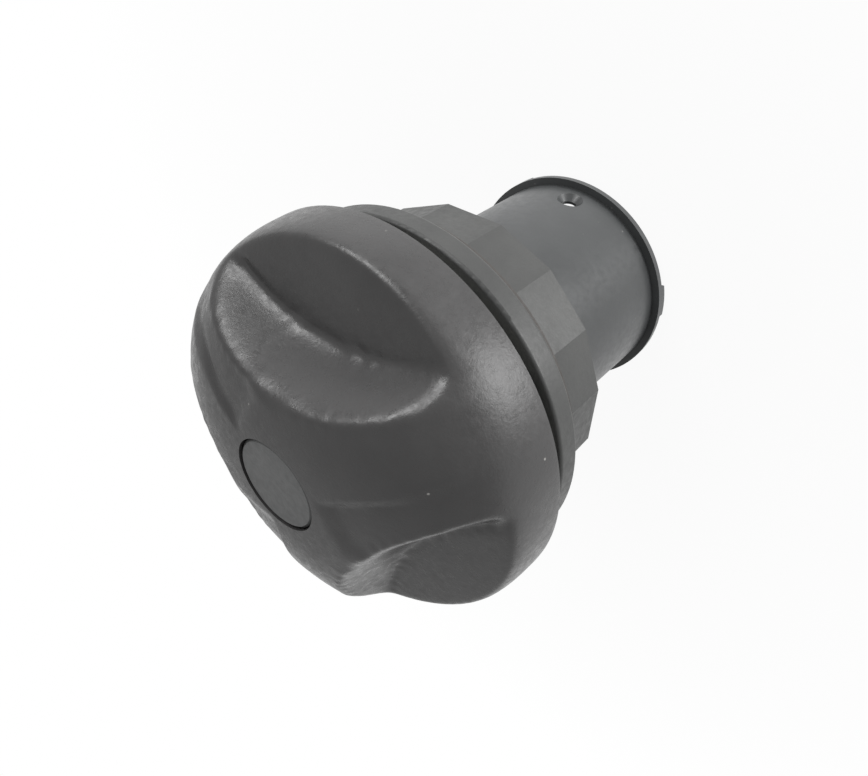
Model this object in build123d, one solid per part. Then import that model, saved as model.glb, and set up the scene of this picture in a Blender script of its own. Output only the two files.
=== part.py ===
from build123d import *
import os
from math import asin, cos, degrees, dist, exp, log1p, pi, radians, sin, tan

os.makedirs("parts", exist_ok=True)

# Fuel filler cap with a three-finger grip, a ratchet drive and two vent valves.
# Millimetres, +Z up. The cap stands on the end of its insert, grip up, with the
# origin in the middle of the circle that its three feet stand on.

# Grip, the domed hand wheel
GRIP_R = 42.0              # rim radius
GRIP_RISE = 28.4           # rim to crown
GRIP_WALL = 2.6
DOME_POWER = 2.65          # superellipse power of the dome's section
POCKET_COUNT = 3
FIRST_POCKET = 68.0        # degrees round from +X
POCKET_REACH = 22.9        # rim to the top edge of a pocket, at its middle
POCKET_BOW = 0.0100        # how fast that edge bows outwards, per mm
POCKET_SLOPE = 6.2         # run of the pocket's inner wall
POCKET_DROP_IN = 13.9      # crown to pocket floor, by the inner wall
POCKET_DROP_OUT = 18.6     # crown to pocket floor, by the rim
POCKET_SOFT = 1.1          # softness of the floor's outer edge
FADE_RISE = 6.2            # height above the rim over which the pockets run out
STEP_DROP = 0.9            # height of the step along each finger
STEP_SIDE = 1.4            # finger's middle line to the step
STEP_RUN = 2.6
STEP_FLAT_END = 11.5       # finger's middle line to where the step fades
STEP_REACH = 6.5           # rim to where the step starts to run out
SECTIONS = 26              # sections through the dome
FINE_STEPS = 2000          # steps that the spacing of the sections is measured in
SECTION_POINTS = 120       # points on each section
CROWN_FLAT_R = 6.0         # where the first section lies, inside the plug's seat

# Centre plug, its seat and the fixing below it
PLUG_R = 9.5
PLUG_T = 3.0
PLUG_SKIRT_T = 1.2
PLUG_SKIRT_H = 2.6
PLUG_GROOVE = 0.3          # gap round the plug
PLUG_SINK = 0.45           # crown to the plug's face
PLUG_EDGE = 0.5
SEAT_LEDGE = 1.0           # width of the ledge that the plug sits on
GRIP_FLOOR_T = 4.0
BOSS_WALL = 3.0
WASHER_T = 1.2
WASHER_R = 7.8
SCREW_R = 2.1
SCREW_HEAD_R = 4.6
SCREW_HEAD_T = 2.8
SCREW_LENGTH = 13.0
SCREW_SLOT = 1.1

# Closure body: flange disc, skirt and spindle
DISC_OVERHANG = 1.6        # gasket's edge to the disc's
DISC_T = 5.2
DISC_EDGE = 0.8
DISC_ROOF = 3.0            # disc left above the valve chamber
RIM_GAP = 5.0              # disc to the grip's rim
SKIRT_PLAY = 0.3           # clamped tube flange to the skirt's outside
SPIGOT_PLAY = 0.2          # tube's spigot to the skirt's bore
CHAMBER_R = 17.0
HUB_R = 13.0
HUB_H = 6.2
HEX_FLATS = 18.0
SPINDLE_R = 7.0
SPINDLE_H = 6.0
NECK_R = 4.0
VENT_R = 1.3
VENT_PITCH_R = 15.0
VENT_COUNT = 6

# Gasket under the disc
GASKET_W = 7.8
GASKET_T = 2.6
GASKET_LIP = 0.9

# Sixteen-sided clamp collar
COLLAR_SIDES = 16
COLLAR_WALL = 3.8          # bore to a corner
COLLAR_H = 14.6
COLLAR_TURN = 5.0          # degrees round from +X to a corner
COLLAR_LIP_T = 2.0
COLLAR_CHAMFER = 0.5

# Insert tube
TUBE_R = 24.8
TUBE_WALL = 2.0
TUBE_SHOWN = 38.8          # end flange to collar
TUBE_SPIGOT = 4.8          # length above the clamped flange
TUBE_FLANGE_W = 4.5
TUBE_FLANGE_T = 2.0
END_FLANGE_W = 1.7
END_FLANGE_T = 1.4
FOOT_H = 1.2
FOOT_W = 7.6
FOOT_COUNT = 3
FIRST_FOOT = 228.0         # degrees round from +X
HOLE_R = 1.7
HOLE_HEAD_R = 3.1
HOLE_UP = 5.4              # end flange to the middle of a hole
HOLE_TURN = 304.5          # degrees round from +X to the first hole
HOLE_COUNT = 2

# O-ring between tube and skirt
O_RING_R = 1.0             # radius of its section
O_RING_PLAY = 0.1

# Ratchet
TEETH = 24
TOOTH_DEPTH = 2.2
TOOTH_TIP_SHARE = 0.12     # part of a tooth's pitch that its tip takes
TOOTH_ROOT_SHARE = 0.95    # part of the pitch from the tip's start to the root
RATCHET_WALL = 5.4         # ring's outside to the tooth roots
RATCHET_INSET = 6.8        # grip's rim to the ring's outside
RATCHET_T = 5.0
PAWL_COUNT = 3
PAWL_HUB_R = 13.6
PAWL_ARM_T = 2.2
PAWL_ARM_SET = 6.1         # tooth tips to the middle of an arm
PAWL_FOOT_W = 3.5
PAWL_SWEEP = 70.0          # degrees that an arm reaches round
PAWL_PLAY = 0.35           # pawl nose to tooth
PAWL_NOSE_SHARE = 0.70     # part of a tooth's pitch that a nose takes
RING_SCREW_R = 1.3
RING_SCREW_HEAD_R = 2.6
RING_SCREW_HEAD_T = 1.4
RING_SCREW_LENGTH = 9.0
RING_SCREW_EDGE = 2.8      # ring's outside to a screw's middle
RING_BOSS_R = 3.4
RIB_T = 1.8
THRUST_WASHER_T = 0.9
THRUST_WASHER_R = 11.6

# Valve cartridge
HOUSING_FLANGE_T = 2.0
HOUSING_GASKET_T = 0.8
HOUSING_R = 18.0
HOUSING_WALL = 1.6
HOUSING_DEPTH = 23.0       # flange top to underside of the floor
HOUSING_FLOOR_T = 2.0
SEAT_HOLE_R = 8.0
SEAT_BEAD_R = 9.8
SEAT_BEAD_H = 0.8
SEAT_BEAD_W = 0.8
COVER_T = 1.5
COVER_LEDGE = 1.0
COVER_VENT_R = 2.0
COVER_VENT_PITCH_R = 6.6
PLATE_R = 13.6
PLATE_T = 2.0
PLATE_RIM_H = 1.5
PLATE_RIM_T = 0.8
PLATE_LUG_W = 3.0
PLATE_PORT_R = 0.75
PLATE_PORT_PITCH_R = 3.1
GUIDE_R = 2.2
GUIDE_H = 3.0
SEAL_T = 1.2
SEAL_R = 11.8
SEAL_BORE_R = 4.3
POPPET_R = 6.2
POPPET_T = 1.8
POPPET_BEAD_H = 0.5
POPPET_BEAD_R = 5.4
STEM_R = 1.5
STEM_H = 12.6
CLIP_R = 5.4
CLIP_T = 1.0
BIG_SPRING_R = 11.6        # middle of the wire
BIG_WIRE_R = 0.6
BIG_TURNS = 4
SMALL_SPRING_R = 4.6
SMALL_WIRE_R = 0.3
SMALL_TURNS = 5

# Clearances
FIT = 0.1                  # radial, pieces that slip together
RUN = 0.06                 # radial, pieces that run on each other
LIFT = 0.08                # between faces that turn or lift off
PAST = 1.0                 # how far a cut or a join reaches past a face

# Radii, tied outwards from the insert tube
END_FLANGE_R = TUBE_R + END_FLANGE_W
TUBE_FLANGE_R = TUBE_R + TUBE_FLANGE_W
SKIRT_BORE_R = TUBE_R + SPIGOT_PLAY
SKIRT_R = TUBE_FLANGE_R + SKIRT_PLAY
COLLAR_CORNER_R = SKIRT_R + FIT + COLLAR_WALL
GASKET_R = SKIRT_R + GASKET_W
DISC_R = GASKET_R + DISC_OVERHANG

# Radii, tied inwards from the grip's rim
POCKET_EDGE = GRIP_R - POCKET_REACH
STEP_END_R = GRIP_R - STEP_REACH
RATCHET_R = GRIP_R - RATCHET_INSET
TOOTH_ROOT_R = RATCHET_R - RATCHET_WALL
TOOTH_TIP_R = TOOTH_ROOT_R - TOOTH_DEPTH
RING_SCREW_PITCH_R = RATCHET_R - RING_SCREW_EDGE
PAWL_ARM_R = TOOTH_TIP_R - PAWL_ARM_SET

# Heights, stacked up from the feet
Z_END = FOOT_H
Z_TUBE = Z_END + END_FLANGE_T
Z_COLLAR = Z_TUBE + TUBE_SHOWN
Z_TUBE_FLANGE = Z_COLLAR + COLLAR_LIP_T
Z_SKIRT = Z_TUBE_FLANGE + TUBE_FLANGE_T
Z_SPIGOT = Z_SKIRT + TUBE_SPIGOT
Z_HOUSING = Z_SPIGOT + HOUSING_GASKET_T
Z_LEDGE = Z_HOUSING + HOUSING_FLANGE_T
Z_GASKET = Z_COLLAR + COLLAR_H
Z_DISC = Z_GASKET + GASKET_T
Z_DISC_TOP = Z_DISC + DISC_T
Z_RIM = Z_DISC_TOP + RIM_GAP
Z_CROWN = Z_RIM + GRIP_RISE
Z_PAWL = Z_DISC_TOP + HUB_H
Z_PAWL_TOP = Z_PAWL + RATCHET_T
Z_HEX_TOP = Z_PAWL_TOP + THRUST_WASHER_T
Z_SPINDLE_TOP = Z_HEX_TOP + SPINDLE_H
Z_GRIP_FLOOR = Z_SPINDLE_TOP + LIFT
Z_WASHER = Z_GRIP_FLOOR + GRIP_FLOOR_T + LIFT
Z_PLUG = Z_CROWN - PLUG_SINK - PLUG_T
Z_FLOOR = Z_LEDGE - HOUSING_DEPTH
Z_SEAT = Z_FLOOR + HOUSING_FLOOR_T + SEAT_BEAD_H
Z_SEAL = Z_SEAT + LIFT
Z_PLATE = Z_SEAL + SEAL_T
Z_PLATE_TOP = Z_PLATE + PLATE_T
Z_POPPET = Z_SEAL - LIFT - POPPET_BEAD_H - POPPET_T
Z_COVER = Z_LEDGE - COVER_T
Z_CLIP = Z_POPPET + POPPET_T + STEM_H - CLIP_T

PLUG_SEAT_R = PLUG_R + PLUG_GROOVE
BOSS_R = PLUG_SEAT_R + BOSS_WALL
FINGER_TURN = FIRST_POCKET + 180 / POCKET_COUNT

# A nose ends just short of the steep flank of a tooth
PAWL_GAP_TURN = degrees(PAWL_PLAY / TOOTH_TIP_R)
PAWL_TURN = 360 / TEETH * TOOTH_ROOT_SHARE - PAWL_SWEEP - PAWL_GAP_TURN


def ring(outer, inner, low, high):
    """A plain ring or, with no inner radius, a disc between two heights."""
    body = Pos(0, 0, low) * extrude(Circle(outer), high - low)
    if inner:
        body -= Pos(0, 0, low - PAST) * extrude(Circle(inner), high - low + 2 * PAST)
    return body


def turned(*outline):
    """A solid turned from an outline of (radius, height) points."""
    points = [(radius, 0, height) for radius, height in outline]
    return revolve(make_face(Polyline(*points, close=True)), Axis.Z)


def round_about(count, start, piece):
    """Copies of a piece, evenly turned about Z."""
    return [Rot(0, 0, start + turn * 360 / count) * piece for turn in range(count)]


def save(solid, node):
    export_step(solid, f"parts/{node}.step")


def ease(share):
    """A smooth step from 0 to 1."""
    share = min(max(share, 0.0), 1.0)
    return share ** 3 * (share * (6 * share - 15) + 10)


def soft_positive(value, softness):
    """The value where it is above zero, rounded off towards zero below."""
    ratio = value / softness
    return value if ratio > 30 else softness * log1p(exp(ratio))


def turn_from(angle, centre):
    return radians((angle - centre + 180) % 360 - 180)


def dome_drop(radius, angle, drop, inset):
    """Crown to surface at a place on the dome, pockets and finger steps in."""
    total = drop
    fade = ease((GRIP_RISE - inset - drop) / FADE_RISE)
    for pocket in range(POCKET_COUNT):
        turn = turn_from(angle, FIRST_POCKET + pocket * 360 / POCKET_COUNT)
        along = radius * cos(turn)
        across = radius * sin(turn)
        edge = POCKET_EDGE - inset + POCKET_BOW * across ** 2
        inside = ease((along - edge) / POCKET_SLOPE)
        reach = (along - POCKET_EDGE) / (GRIP_R - POCKET_EDGE)
        floor = POCKET_DROP_IN + (POCKET_DROP_OUT - POCKET_DROP_IN) * reach
        total += inside * fade * soft_positive(floor - drop, POCKET_SOFT)
        turn = turn_from(angle, FINGER_TURN + pocket * 360 / POCKET_COUNT)
        along = radius * cos(turn)
        across = -radius * sin(turn)
        step = ease((across - STEP_SIDE) / STEP_RUN)
        step *= ease((STEP_FLAT_END + POCKET_SLOPE - across) / POCKET_SLOPE)
        step *= ease((along - PLUG_SEAT_R) / POCKET_SLOPE)
        step *= 1 - ease((radius + inset - STEP_END_R) / POCKET_SLOPE)
        total += STEP_DROP * step
    return total


def dome_section(radius, rise):
    """Places (radius, drop) evenly spaced along the dome's section, crown to rim."""
    first = asin((CROWN_FLAT_R / radius) ** (DOME_POWER / 2))
    line = []
    for step in range(FINE_STEPS + 1):
        turn = first + (pi / 2 - first) * step / FINE_STEPS
        reach = radius * sin(turn) ** (2 / DOME_POWER)
        drop = rise * (1 - max(cos(turn), 0.0) ** (2 / DOME_POWER))
        line.append((reach, drop))
    line[-1] = (radius, rise)
    lengths = [0.0]
    for before, after in zip(line, line[1:]):
        lengths.append(lengths[-1] + dist(before, after))
    places = []
    step = 0
    for section in range(SECTIONS):
        aim = lengths[-1] * section / (SECTIONS - 1)
        while step < FINE_STEPS and lengths[step] < aim:
            step += 1
        places.append(line[step])
    return places


def grip_form(inset):
    """The grip's outer form, or the same form a wall thickness further in."""
    knots = [step / SECTION_POINTS for step in range(SECTION_POINTS + 1)]
    wires = []
    for reach, drop in dome_section(GRIP_R - inset, GRIP_RISE - inset):
        points = []
        for step in range(SECTION_POINTS):
            angle = step * 360 / SECTION_POINTS
            height = Z_CROWN - inset - dome_drop(reach, angle, drop, inset)
            place = radians(angle)
            points.append((reach * cos(place), reach * sin(place), height))
        wires.append(Wire([Edge.make_spline(points, periodic=True, parameters=knots)]))
    return Solid.make_loft(wires)


def grip_cover():
    boss = ring(BOSS_R, 0, Z_HEX_TOP + LIFT, Z_CROWN)
    stud = ring(RING_BOSS_R, 0, Z_PAWL_TOP, Z_CROWN)
    stud = Pos(RING_SCREW_PITCH_R, 0, 0) * stud
    low = Z_HEX_TOP + BOSS_WALL
    rib = Box(RING_SCREW_PITCH_R, RIB_T, Z_CROWN - low)
    rib = Pos(RING_SCREW_PITCH_R / 2, 0, (Z_CROWN + low) / 2) * rib
    standing = [boss]
    for piece in (stud, rib):
        standing += round_about(POCKET_COUNT, FINGER_TURN, piece)
    cavity = grip_form(GRIP_WALL) - standing
    pilot = Pos(RING_SCREW_PITCH_R, 0, 0) * ring(
        RING_SCREW_R, 0, Z_RIM, Z_PAWL + RING_SCREW_LENGTH + LIFT)
    holes = [
        ring(PLUG_SEAT_R, 0, Z_PLUG, Z_CROWN + PAST),
        ring(PLUG_SEAT_R - SEAT_LEDGE, 0, Z_GRIP_FLOOR + GRIP_FLOOR_T, Z_CROWN),
        ring(SPINDLE_R + RUN, 0, Z_RIM, Z_GRIP_FLOOR),
        ring(NECK_R + RUN, 0, Z_RIM, Z_CROWN)]
    holes += round_about(POCKET_COUNT, FINGER_TURN, pilot)
    return grip_form(0) - cavity - holes


def centre_plug():
    skirt = PLUG_SEAT_R - SEAT_LEDGE - RUN
    low = Z_PLUG - PLUG_SKIRT_H
    high = Z_PLUG + PLUG_T
    return turned(
        (0, Z_PLUG), (skirt - PLUG_SKIRT_T, Z_PLUG), (skirt - PLUG_SKIRT_T, low),
        (skirt, low), (skirt, Z_PLUG), (PLUG_R, Z_PLUG),
        (PLUG_R, high - PLUG_EDGE), (PLUG_R - PLUG_EDGE, high), (0, high))


def grip_screw():
    low = Z_WASHER + WASHER_T
    body = ring(SCREW_R, 0, low - SCREW_LENGTH, low + PAST)
    head = ring(SCREW_HEAD_R, 0, low, low + SCREW_HEAD_T)
    head = fillet(head.edges().group_by(Axis.Z)[-1], SCREW_HEAD_T / 3)
    slot = Box(2 * SCREW_HEAD_R, SCREW_SLOT, SCREW_HEAD_T)
    return body + head - Pos(0, 0, low + SCREW_HEAD_T) * slot


def screw_washer():
    return ring(WASHER_R, SCREW_R + FIT, Z_WASHER, Z_WASHER + WASHER_T)


def closure_body():
    disc = ring(DISC_R, 0, Z_DISC, Z_DISC_TOP)
    disc = fillet(disc.edges(), DISC_EDGE)
    skirt = ring(SKIRT_R, 0, Z_SKIRT, Z_DISC)
    hub = ring(HUB_R, 0, Z_DISC_TOP - PAST, Z_PAWL)
    key = Pos(0, 0, Z_PAWL) * extrude(
        RegularPolygon(HEX_FLATS / 2, 6, major_radius=False), RATCHET_T)
    spindle = ring(SPINDLE_R, 0, Z_PAWL, Z_SPINDLE_TOP)
    neck = ring(NECK_R, 0, Z_SPINDLE_TOP - PAST, Z_WASHER)
    body = disc + skirt + hub + key + spindle + neck
    body -= ring(SKIRT_BORE_R, 0, Z_SKIRT - PAST, Z_LEDGE)
    groove = 2 * O_RING_R + 2 * O_RING_PLAY
    body -= ring(SKIRT_BORE_R + groove, 0, Z_SKIRT - PAST, Z_SKIRT + groove)
    body -= ring(CHAMBER_R, 0, Z_LEDGE - PAST, Z_DISC_TOP - DISC_ROOF)
    low = Z_WASHER + WASHER_T - SCREW_LENGTH
    body -= ring(SCREW_R + RUN, 0, low - LIFT, Z_WASHER + PAST)
    vent = Pos(VENT_PITCH_R, 0, 0) * ring(VENT_R, 0, Z_LEDGE, Z_DISC_TOP + PAST)
    for hole in round_about(VENT_COUNT, 0, vent):
        body -= hole
    return body


def flange_gasket():
    return turned(
        (SKIRT_R + FIT, Z_GASKET), (GASKET_R - GASKET_LIP, Z_GASKET),
        (GASKET_R, Z_GASKET + GASKET_LIP), (GASKET_R, Z_DISC - GASKET_LIP / 2),
        (GASKET_R - GASKET_LIP, Z_DISC), (SKIRT_R + FIT, Z_DISC))


def clamp_collar():
    sides = Rot(0, 0, COLLAR_TURN) * extrude(
        RegularPolygon(COLLAR_CORNER_R, COLLAR_SIDES), COLLAR_H)
    body = Pos(0, 0, Z_COLLAR) * sides
    body = chamfer(body.faces().sort_by(Axis.Z)[0].edges(), COLLAR_CHAMFER)
    body -= ring(SKIRT_R + FIT, 0, Z_TUBE_FLANGE, Z_GASKET + PAST)
    return body - ring(TUBE_R + FIT, 0, Z_COLLAR - PAST, Z_GASKET)


def insert_tube():
    bore = TUBE_R - TUBE_WALL
    body = turned(
        (bore, Z_END), (END_FLANGE_R, Z_END), (END_FLANGE_R, Z_TUBE), (TUBE_R, Z_TUBE),
        (TUBE_R, Z_TUBE_FLANGE), (TUBE_FLANGE_R, Z_TUBE_FLANGE), (TUBE_FLANGE_R, Z_SKIRT),
        (TUBE_R, Z_SKIRT), (TUBE_R, Z_SPIGOT), (bore, Z_SPIGOT))
    wall = ring(END_FLANGE_R, bore, 0, Z_END)
    foot = Pos(END_FLANGE_R, 0, 0) * Box(END_FLANGE_R, FOOT_W, 3 * FOOT_H)
    for place in round_about(FOOT_COUNT, FIRST_FOOT, foot):
        body += wall & place
    head_depth = HOLE_HEAD_R - HOLE_R
    hole = revolve(make_face(Polyline(
        (0, 0, -TUBE_WALL - PAST), (HOLE_R, 0, -TUBE_WALL - PAST), (HOLE_R, 0, -head_depth),
        (HOLE_HEAD_R, 0, 0), (HOLE_HEAD_R, 0, PAST), (0, 0, PAST), close=True)), Axis.Z)
    hole = Pos(TUBE_R, 0, Z_TUBE + HOLE_UP) * Rot(0, 90, 0) * hole
    for place in round_about(HOLE_COUNT, HOLE_TURN, hole):
        body -= place
    return body


def tube_o_ring():
    middle = SKIRT_BORE_R + O_RING_PLAY + O_RING_R
    section = Plane.XZ * Pos(middle, Z_SKIRT + O_RING_PLAY + O_RING_R) * Circle(O_RING_R)
    return revolve(section, Axis.Z)


def tooth_angle(share):
    return radians(share * 360 / TEETH)


def tooth_polygon():
    """Points round a ring of saw teeth that point inwards."""
    points = []
    for tooth in range(TEETH):
        for share, radius in (
                (0, TOOTH_TIP_R), (TOOTH_TIP_SHARE, TOOTH_TIP_R),
                (TOOTH_ROOT_SHARE, TOOTH_ROOT_R)):
            angle = tooth_angle(tooth + share)
            points.append((radius * cos(angle), radius * sin(angle)))
    return points


def ratchet_ring():
    body = ring(RATCHET_R, 0, Z_PAWL, Z_PAWL_TOP)
    teeth = make_face(Polyline(*tooth_polygon(), close=True))
    body -= Pos(0, 0, Z_PAWL - PAST) * extrude(teeth, RATCHET_T + 2 * PAST)
    hole = Pos(RING_SCREW_PITCH_R, 0, 0) * ring(
        RING_SCREW_R + FIT, 0, Z_PAWL - PAST, Z_PAWL_TOP + PAST)
    for place in round_about(POCKET_COUNT, FINGER_TURN, hole):
        body -= place
    return body


def ratchet_screws():
    shank = ring(RING_SCREW_R - RUN, 0, Z_PAWL, Z_PAWL + RING_SCREW_LENGTH)
    head = ring(RING_SCREW_HEAD_R, 0, Z_PAWL - RING_SCREW_HEAD_T, Z_PAWL)
    screw = Pos(RING_SCREW_PITCH_R, 0, 0) * (shank + head)
    return Compound(children=round_about(POCKET_COUNT, FINGER_TURN, screw))


def pawl_arm():
    """One springy arm that runs round and out from the hub to its nose."""
    inner = PAWL_ARM_R - PAWL_ARM_T / 2
    middle = (PAWL_HUB_R + PAWL_ARM_R) / 2
    foot = Pos(middle, 0) * Rectangle(PAWL_ARM_R - PAWL_HUB_R + PAWL_ARM_T, PAWL_FOOT_W)
    tip = radians(PAWL_SWEEP)
    far = 2 * TOOTH_ROOT_R
    wedge = make_face(Polyline(
        (0, 0), (far, 0), (far, far * tan(tip / 2)), (far * cos(tip), far * sin(tip)),
        close=True))
    arm = (Circle(PAWL_ARM_R + PAWL_ARM_T / 2) - Circle(inner)) & wedge
    back = tip - tooth_angle(PAWL_NOSE_SHARE)
    corners = []
    for radius, angle in (
            (inner, tip), (TOOTH_ROOT_R - PAWL_PLAY, tip),
            (TOOTH_TIP_R - PAWL_PLAY, back), (inner, back)):
        corners.append((radius * cos(angle), radius * sin(angle)))
    nose = make_face(Polyline(*corners, close=True))
    end = Pos(PAWL_ARM_R * cos(tip), PAWL_ARM_R * sin(tip)) * Circle(PAWL_ARM_T / 2)
    return foot + arm + nose + end


def pawl_ring():
    face = Circle(PAWL_HUB_R)
    for arm in round_about(PAWL_COUNT, PAWL_TURN, pawl_arm()):
        face += arm
    face -= RegularPolygon(HEX_FLATS / 2 + RUN, 6, major_radius=False)
    return Pos(0, 0, Z_PAWL) * extrude(face, RATCHET_T)


def thrust_washer():
    return ring(THRUST_WASHER_R, SPINDLE_R + RUN, Z_PAWL_TOP, Z_HEX_TOP)


def valve_housing():
    bore = HOUSING_R - HOUSING_WALL
    rebate = bore + HOUSING_WALL + COVER_LEDGE
    floor = Z_FLOOR + HOUSING_FLOOR_T
    half = SEAT_BEAD_W / 2
    return turned(
        (SEAT_HOLE_R, Z_FLOOR), (HOUSING_R, Z_FLOOR), (HOUSING_R, Z_HOUSING),
        (SKIRT_BORE_R - FIT, Z_HOUSING), (SKIRT_BORE_R - FIT, Z_LEDGE), (rebate, Z_LEDGE),
        (rebate, Z_COVER), (bore, Z_COVER), (bore, floor), (SEAT_BEAD_R + half, floor),
        (SEAT_BEAD_R + half, Z_SEAT), (SEAT_BEAD_R - half, Z_SEAT),
        (SEAT_BEAD_R - half, floor), (SEAT_HOLE_R, floor))


def housing_gasket():
    return ring(TUBE_R, TUBE_R - TUBE_WALL, Z_SPIGOT, Z_HOUSING)


def valve_cover():
    body = ring(HOUSING_R + COVER_LEDGE - FIT, 0, Z_COVER, Z_LEDGE)
    spigot = BIG_SPRING_R - BIG_WIRE_R - FIT
    body += ring(spigot, spigot - HOUSING_WALL, Z_COVER - COVER_T, Z_COVER)
    vent = Pos(COVER_VENT_PITCH_R, 0, 0) * ring(COVER_VENT_R, 0, Z_COVER - PAST, Z_LEDGE + PAST)
    for hole in round_about(VENT_COUNT, 0, vent):
        body -= hole
    return body


def pressure_plate():
    body = ring(PLATE_R, 0, Z_PLATE, Z_PLATE_TOP)
    body += ring(PLATE_R, PLATE_R - PLATE_RIM_T, Z_PLATE_TOP, Z_PLATE_TOP + PLATE_RIM_H)
    body += ring(GUIDE_R, 0, Z_PLATE_TOP, Z_PLATE_TOP + GUIDE_H)
    reach = HOUSING_R - HOUSING_WALL - FIT
    lug = Pos((PLATE_R + reach) / 2 - PAST, 0, Z_PLATE + PLATE_T / 2) * Box(
        reach - PLATE_R + 2 * PAST, PLATE_LUG_W, PLATE_T)
    for piece in round_about(4, 45, lug):
        body += piece & ring(reach, 0, Z_PLATE, Z_PLATE_TOP)
    port = Pos(PLATE_PORT_PITCH_R, 0, 0) * ring(
        PLATE_PORT_R, 0, Z_PLATE - PAST, Z_PLATE_TOP + PAST)
    for hole in round_about(4, 0, port):
        body -= hole
    return body - ring(STEM_R + RUN, 0, Z_PLATE - PAST, Z_PLATE_TOP + GUIDE_H + PAST)


def plate_seal():
    return ring(SEAL_R, SEAL_BORE_R, Z_SEAL, Z_PLATE)


def vacuum_poppet():
    high = Z_POPPET + POPPET_T
    top = high + STEM_H
    half = SEAT_BEAD_W / 2
    return turned(
        (0, Z_POPPET), (POPPET_R, Z_POPPET), (POPPET_R, high),
        (POPPET_BEAD_R + half, high), (POPPET_BEAD_R + half, high + POPPET_BEAD_H),
        (POPPET_BEAD_R - half, high + POPPET_BEAD_H), (POPPET_BEAD_R - half, high),
        (STEM_R, high), (STEM_R, top), (0, top))


def stem_clip():
    body = ring(CLIP_R, STEM_R, Z_CLIP, Z_CLIP + CLIP_T)
    slot = Pos(CLIP_R, 0, Z_CLIP + CLIP_T / 2) * Box(2 * CLIP_R, STEM_R, 2 * CLIP_T)
    return body - slot


def coil(middle_r, wire_r, turns, low, high):
    """A coil spring between two seats, with its wire lying on both."""
    rise = high - low - 2 * wire_r
    path = Pos(0, 0, low + wire_r) * Helix(rise / turns, rise, middle_r)
    section = Plane(path @ 0, x_dir=(1, 0, 0), z_dir=path % 0) * RegularPolygon(wire_r, 8)
    return sweep(section, path, is_frenet=True)


def pressure_spring():
    return coil(BIG_SPRING_R, BIG_WIRE_R, BIG_TURNS, Z_PLATE_TOP, Z_COVER)


def vacuum_spring():
    return coil(SMALL_SPRING_R, SMALL_WIRE_R, SMALL_TURNS, Z_PLATE_TOP, Z_CLIP)


PIECES = (
    grip_cover, centre_plug, grip_screw, screw_washer, ratchet_ring, ratchet_screws,
    pawl_ring, thrust_washer, closure_body, flange_gasket, clamp_collar, insert_tube,
    tube_o_ring, housing_gasket, valve_housing, valve_cover, pressure_plate, plate_seal,
    pressure_spring, vacuum_poppet, vacuum_spring, stem_clip)

for piece in PIECES:
    save(piece(), piece.__name__)
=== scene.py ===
import bpy
from mathutils import Matrix

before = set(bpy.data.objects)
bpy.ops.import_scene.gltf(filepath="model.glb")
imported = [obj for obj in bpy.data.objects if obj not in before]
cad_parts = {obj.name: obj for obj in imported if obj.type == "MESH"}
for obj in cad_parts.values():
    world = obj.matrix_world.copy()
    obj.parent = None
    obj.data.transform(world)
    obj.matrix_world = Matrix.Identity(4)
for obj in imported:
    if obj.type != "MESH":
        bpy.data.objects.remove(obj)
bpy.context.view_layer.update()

# Camera fitted to the photo's circles, millimetres in the part's frame
CAMERA_AT = (0.0, -126.70, 148.74)
RIGHT = (-0.57970, -0.49163, -0.64981)
UP = (0.81464, -0.33239, -0.47526)
FORWARD = (-0.01766, 0.80487, -0.59319)
LENS = 30.69


def node(tree, kind, **values):
    made = tree.nodes.new(kind)
    for name, value in values.items():
        if name in made.inputs:
            made.inputs[name].default_value = value
        else:
            setattr(made, name, value)
    return made


def noise(tree, scale, detail, place):
    made = node(tree, "ShaderNodeTexNoise", Scale=scale, Detail=detail, Roughness=0.6)
    tree.links.new(place, made.inputs["Vector"])
    return made.outputs["Fac"]


def spread(tree, value, low, high, to_low, to_high):
    made = node(tree, "ShaderNodeMapRange", clamp=True)
    made.inputs["From Min"].default_value = low
    made.inputs["From Max"].default_value = high
    made.inputs["To Min"].default_value = to_low
    made.inputs["To Max"].default_value = to_high
    tree.links.new(value, made.inputs["Value"])
    return made.outputs["Result"]


def mixed(tree, share, first, second):
    made = node(tree, "ShaderNodeMix", data_type="RGBA")
    tree.links.new(share, made.inputs[0])
    for socket, value in ((made.inputs[6], first), (made.inputs[7], second)):
        if isinstance(value, tuple):
            socket.default_value = value
        else:
            tree.links.new(value, socket)
    return made.outputs[2]


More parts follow.
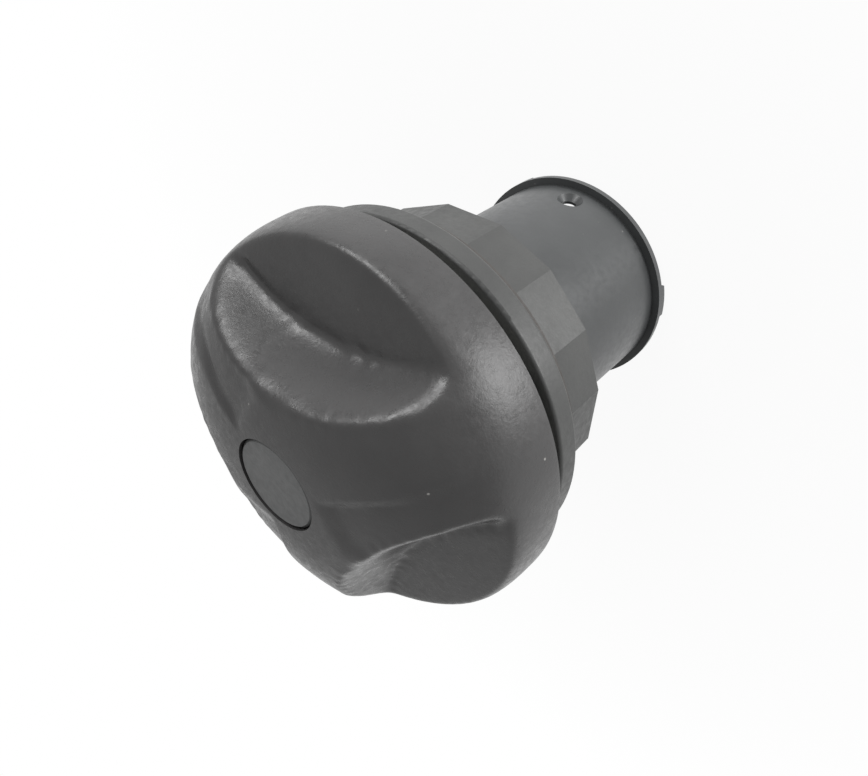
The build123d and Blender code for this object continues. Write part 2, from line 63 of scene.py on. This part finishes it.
def plastic(name, dark, light, rough, grain, grain_scale, dust=0.0, metal=0.0, specular=0.5):
    """A moulded surface: blotchy colour, uneven sheen, fine grain and dust specks."""
    made = bpy.data.materials.new(name)
    made.use_nodes = True
    tree = made.node_tree
    shader = tree.nodes["Principled BSDF"]
    place = tree.nodes.new("ShaderNodeTexCoord").outputs["Object"]
    blotch = noise(tree, 45.0, 5.0, place)
    share = spread(tree, blotch, 0.35, 0.68, 0.0, 1.0)
    colour = mixed(tree, share, dark + (1.0,), light + (1.0,))
    if dust:
        cells = node(tree, "ShaderNodeTexVoronoi", Scale=330.0)
        tree.links.new(place, cells.inputs["Vector"])
        speck = spread(tree, cells.outputs["Distance"], 0.10, 0.05, 0.0, 1.0)
        chance = spread(tree, noise(tree, 120.0, 2.0, place), 0.60, 0.66, 0.0, dust)
        both = node(tree, "ShaderNodeMath", operation="MULTIPLY")
        tree.links.new(speck, both.inputs[0])
        tree.links.new(chance, both.inputs[1])
        colour = mixed(tree, both.outputs[0], colour, (0.42, 0.41, 0.39, 1.0))
    tree.links.new(colour, shader.inputs["Base Color"])
    sheen = noise(tree, 700.0, 3.0, place)
    low, high = rough
    tree.links.new(spread(tree, sheen, 0.32, 0.7, low, high), shader.inputs["Roughness"])
    shader.inputs["Metallic"].default_value = metal
    shader.inputs["Specular IOR Level"].default_value = specular
    fine = noise(tree, grain_scale, 4.0, place)
    bump = node(tree, "ShaderNodeBump", Strength=grain, Distance=0.0001)
    tree.links.new(fine, bump.inputs["Height"])
    tree.links.new(bump.outputs["Normal"], shader.inputs["Normal"])
    return made


LOOKS = {
    "grip_plastic": plastic(
        "grip_plastic", (0.038, 0.037, 0.037), (0.053, 0.052, 0.052), (0.24, 0.42),
        0.50, 1600.0, dust=0.7, specular=0.6),
    "plug_plastic": plastic(
        "plug_plastic", (0.074, 0.076, 0.076), (0.104, 0.106, 0.105), (0.30, 0.48),
        0.35, 1600.0, dust=0.6),
    "body_plastic": plastic(
        "body_plastic", (0.042, 0.043, 0.042), (0.062, 0.063, 0.061), (0.38, 0.58),
        0.50, 1300.0, dust=0.6),
    "tube_plastic": plastic(
        "tube_plastic", (0.040, 0.042, 0.043), (0.054, 0.057, 0.058), (0.30, 0.42),
        0.15, 900.0, dust=0.3),
    "valve_plastic": plastic(
        "valve_plastic", (0.50, 0.50, 0.46), (0.62, 0.62, 0.58), (0.40, 0.60), 0.2, 900.0),
    "seal_rubber": plastic(
        "seal_rubber", (0.044, 0.040, 0.037), (0.068, 0.062, 0.056), (0.55, 0.80),
        0.6, 1100.0, dust=0.8),
    "zinc_steel": plastic(
        "zinc_steel", (0.50, 0.50, 0.47), (0.62, 0.62, 0.60), (0.25, 0.45), 0.2, 900.0,
        metal=1.0),
    "spring_steel": plastic(
        "spring_steel", (0.42, 0.42, 0.42), (0.56, 0.56, 0.55), (0.22, 0.40), 0.15, 900.0,
        metal=1.0),
}

slots = {
    "grip_cover": "grip_plastic", "centre_plug": "plug_plastic", "grip_screw": "zinc_steel",
    "screw_washer": "zinc_steel", "ratchet_ring": "valve_plastic",
    "ratchet_screws": "zinc_steel", "pawl_ring": "valve_plastic",
    "thrust_washer": "valve_plastic", "closure_body": "body_plastic",
    "flange_gasket": "seal_rubber", "clamp_collar": "body_plastic",
    "insert_tube": "tube_plastic", "tube_o_ring": "seal_rubber",
    "housing_gasket": "seal_rubber", "valve_housing": "valve_plastic",
    "valve_cover": "valve_plastic", "pressure_plate": "valve_plastic",
    "plate_seal": "seal_rubber", "pressure_spring": "spring_steel",
    "vacuum_poppet": "valve_plastic", "vacuum_spring": "spring_steel",
    "stem_clip": "spring_steel"}
for name, look in slots.items():
    bpy.data.objects[name].material_slots[0].material = LOOKS[look]

# Camera
turned = Matrix((RIGHT, UP, tuple(-part for part in FORWARD))).transposed().to_4x4()
lens = bpy.data.cameras.new("photo_camera")
lens.sensor_width = 36.0
lens.lens = LENS
lens.clip_start = 0.005
camera = bpy.data.objects.new("photo_camera", lens)
camera.matrix_world = Matrix.Translation([part / 1000 for part in CAMERA_AT]) @ turned
bpy.context.scene.collection.objects.link(camera)
bpy.context.scene.camera = camera


def lamp(name, spot, size, power):
    """A soft square lamp that faces the middle of the cap."""
    light = bpy.data.lights.new(name, "AREA")
    light.size = size
    light.energy = power
    made = bpy.data.objects.new(name, light)
    made.location = spot
    aim = Matrix.Translation((0, 0, 0.06)).translation - made.location
    made.rotation_euler = aim.to_track_quat("-Z", "Y").to_euler()
    bpy.context.scene.collection.objects.link(made)
    return made


def from_view(right, up, back, reach):
    """A place given in the camera's own directions from the middle of the cap."""
    spot = []
    for axis in range(3):
        along = right * RIGHT[axis] + up * UP[axis] - back * FORWARD[axis]
        spot.append(along * reach + (0, 0, 0.06)[axis])
    return spot


lamp("key", from_view(0.66, 0.70, 0.22, 0.80), 0.36, 2.0)
lamp("right", from_view(0.88, 0.24, 0.42, 0.80), 0.26, 4.0)
lamp("top", from_view(0.10, 0.96, 0.16, 0.80), 0.36, 2.6)
lamp("front", from_view(-0.50, 0.62, 0.60, 0.80), 0.34, 2.6)

# White surroundings
world = bpy.data.worlds.new("white")
bpy.context.scene.world = world
world.use_nodes = True
tree = world.node_tree
sky = tree.nodes["Background"]
path = tree.nodes.new("ShaderNodeLightPath")
seen = node(tree, "ShaderNodeMath", operation="MAXIMUM")
tree.links.new(path.outputs["Is Camera Ray"], seen.inputs[0])
tree.links.new(path.outputs["Is Transmission Ray"], seen.inputs[1])
tree.links.new(spread(tree, seen.outputs[0], 0.0, 1.0, 0.55, 1.0), sky.inputs["Strength"])
sky.inputs["Color"].default_value = (1.0, 1.0, 1.0, 1.0)

# Floor, nearly white to the camera but for the cap's faint shadow
sheet = bpy.data.meshes.new("floor")
half = 30.0
sheet.from_pydata(
    [(-half, -half, 0), (half, -half, 0), (half, half, 0), (-half, half, 0)], [],
    [(0, 1, 2, 3)])
floor = bpy.data.objects.new("floor", sheet)
floor.location.z = -0.0004
floor.visible_shadow = False
bpy.context.scene.collection.objects.link(floor)
pale = bpy.data.materials.new("floor_white")
pale.use_nodes = True
tree = pale.node_tree
matt = tree.nodes["Principled BSDF"]
matt.inputs["Base Color"].default_value = (0.8, 0.8, 0.8, 1.0)
matt.inputs["Roughness"].default_value = 1.0
matt.inputs["Specular IOR Level"].default_value = 0.0
glow = node(tree, "ShaderNodeEmission", Strength=1.0)
path = tree.nodes.new("ShaderNodeLightPath")
blend = tree.nodes.new("ShaderNodeMixShader")
reach = node(tree, "ShaderNodeVectorMath", operation="LENGTH")
middle = tree.nodes.new("ShaderNodeTexCoord").outputs["Object"]
tree.links.new(middle, reach.inputs[0])
share = node(tree, "ShaderNodeMath", operation="MULTIPLY")
tree.links.new(spread(tree, reach.outputs["Value"], 0.05, 0.22, 0.93, 1.0), share.inputs[0])
plain = node(tree, "ShaderNodeMath", operation="MAXIMUM")
tree.links.new(path.outputs["Is Camera Ray"], plain.inputs[0])
tree.links.new(path.outputs["Is Glossy Ray"], plain.inputs[1])
tree.links.new(plain.outputs[0], share.inputs[1])
tree.links.new(share.outputs[0], blend.inputs[0])
tree.links.new(matt.outputs[0], blend.inputs[1])
tree.links.new(glow.outputs[0], blend.inputs[2])
tree.links.new(blend.outputs[0], tree.nodes["Material Output"].inputs["Surface"])
sheet.materials.append(pale)

bpy.context.scene.view_settings.view_transform = "Standard"
